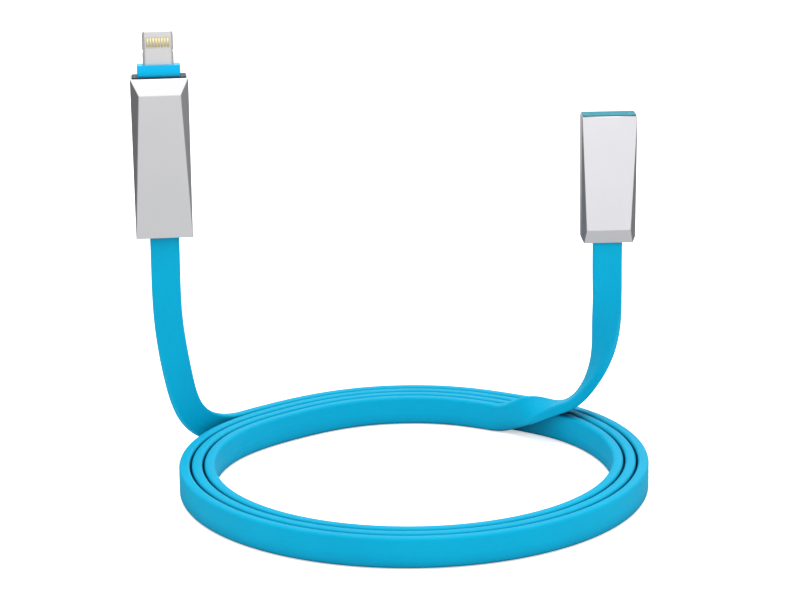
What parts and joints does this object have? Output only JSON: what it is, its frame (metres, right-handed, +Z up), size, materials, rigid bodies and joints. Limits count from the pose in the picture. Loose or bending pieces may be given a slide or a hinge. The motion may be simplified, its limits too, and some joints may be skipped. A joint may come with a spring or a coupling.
{
  "type": "charging cable",
  "caption": "Flat blue ribbon charging cable coiled on edge, with a silver-shelled reversible blade plug at one end and a silver-shelled socket end with a flush blue face at the other",
  "frame": {"origin": "on the table, at the middle of the coil", "axes": "+Z up, +X towards the socket end of the cable, -Y towards the front, where both connectors face"},
  "size_m": [0.1111, 0.1028, 0.097],
  "materials": {
    "ribbon": "satin bright blue elastomer jacket",
    "wire_insulation": "coloured wire insulation",
    "copper": "stranded copper",
    "left_shell_metal": "satin silver die casting",
    "right_shell_metal": "satin silver die casting",
    "collar": "glossy blue moulding",
    "cap": "glossy dark moulding",
    "sleeve": "dark insulating sleeve",
    "blade_metal": "fine satin stainless steel",
    "blade_plastic": "pale moulded plastic",
    "contact_gold": "gold plated contacts",
    "board": "green laminate",
    "component": "dark epoxy package",
    "capacitor": "ceramic chip",
    "solder": "bright solder",
    "grommet": "dark elastomer",
    "crimp": "plated steel band",
    "end_blue": "glossy blue moulding",
    "socket_metal": "plated steel tube",
    "socket_plastic": "dark moulded plastic",
    "dust_plug": "satin blue elastomer"
  },
  "bodies": {
    "coil": {"jacket_coil": "ribbon", "wires_coil": "wire_insulation"},
    "outer_right": {"jacket_outer_right": "ribbon", "wires_outer_right": "wire_insulation"},
    "outer_back": {"jacket_outer_back": "ribbon", "wires_outer_back": "wire_insulation"},
    "left_lower": {"jacket_left_lower": "ribbon", "wires_left_lower": "wire_insulation"},
    "left_upper": {"jacket_left_upper": "ribbon", "wires_left_upper": "wire_insulation"},
    "left_plug": {"left_shell": "left_shell_metal", "left_collar": "collar", "left_cap": "cap", "left_board_sleeve": "sleeve", "blade_frame": "blade_metal", "blade_insulator": "blade_plastic", "blade_contacts": "contact_gold", "blade_leads": "contact_gold", "left_board": "board", "left_chip": "component", "left_capacitors": "capacitor", "left_solder": "solder", "left_grommet": "grommet", "left_crimp": "crimp", "left_jacket_end": "ribbon", "left_tail_insulation": "wire_insulation", "left_tail_cores": "copper"},
    "right_lower": {"jacket_right_lower": "ribbon", "wires_right_lower": "wire_insulation"},
    "right_upper": {"jacket_right_upper": "ribbon", "wires_right_upper": "wire_insulation"},
    "right_socket": {"right_shell": "right_shell_metal", "end_moulding": "end_blue", "socket_shell": "socket_metal", "socket_tongue": "socket_plastic", "socket_contacts": "contact_gold", "socket_leads": "contact_gold", "right_board": "board", "right_resistor": "component", "right_solder": "solder", "right_grommet": "grommet", "right_crimp": "crimp", "right_jacket_end": "ribbon", "right_tail_insulation": "wire_insulation", "right_tail_cores": "copper"},
    "dust_plug": {"dust_plug": "dust_plug"}
  },
  "joints": [
    {"name": "second_quarter_peel", "type": "hinge", "parent": "coil", "child": "outer_right", "pos_m": [0.03405, -0.03651, 0.0032], "axis": [0, 0, -1], "range_deg": [0, 45], "stiffness_Nm_per_rad": 0.05},
    {"name": "first_quarter_peel", "type": "hinge", "parent": "outer_right", "child": "outer_back", "pos_m": [0.0367, 0.03422, 0.0032], "axis": [0, 0, -1], "range_deg": [0, 45], "stiffness_Nm_per_rad": 0.05},
    {"name": "left_base_bend", "type": "hinge", "parent": "outer_back", "child": "left_lower", "pos_m": [-0.05211, 0.02103, 0.02149], "axis": [0.9118, 0.3718, 0.1746], "range_deg": [-50, 50], "stiffness_Nm_per_rad": 0.05},
    {"name": "left_twist", "type": "hinge", "parent": "left_lower", "child": "left_upper", "pos_m": [-0.05331, 0.01975, 0.03329], "axis": [-0.0376, -0.1576, 0.9868], "range_deg": [-60, 60], "stiffness_Nm_per_rad": 0.05},
    {"name": "left_neck_bend", "type": "hinge", "parent": "left_upper", "child": "left_plug", "pos_m": [-0.05325, 0.0177, 0.04805], "axis": [0.9945, 0.1045, 0], "range_deg": [-60, 60], "stiffness_Nm_per_rad": 0.05},
    {"name": "right_base_bend", "type": "hinge", "parent": "coil", "child": "right_lower", "pos_m": [0.04114, 0.02687, 0.01503], "axis": [0.019, 0.9838, 0.1783], "range_deg": [-50, 50], "stiffness_Nm_per_rad": 0.05},
    {"name": "right_twist", "type": "hinge", "parent": "right_lower", "child": "right_upper", "pos_m": [0.04385, 0.02201, 0.02897], "axis": [0.0208, -0.4338, 0.9008], "range_deg": [-60, 60], "stiffness_Nm_per_rad": 0.05},
    {"name": "right_neck_bend", "type": "hinge", "parent": "right_upper", "child": "right_socket", "pos_m": [0.0435, 0.0163, 0.04585], "axis": [0.999, 0.0436, 0], "range_deg": [-60, 60], "stiffness_Nm_per_rad": 0.05},
    {"name": "dust_plug_slide", "type": "slide", "parent": "right_socket", "child": "dust_plug", "axis": [0, 0, 1], "range_m": [0, 0.008]}
  ]
}
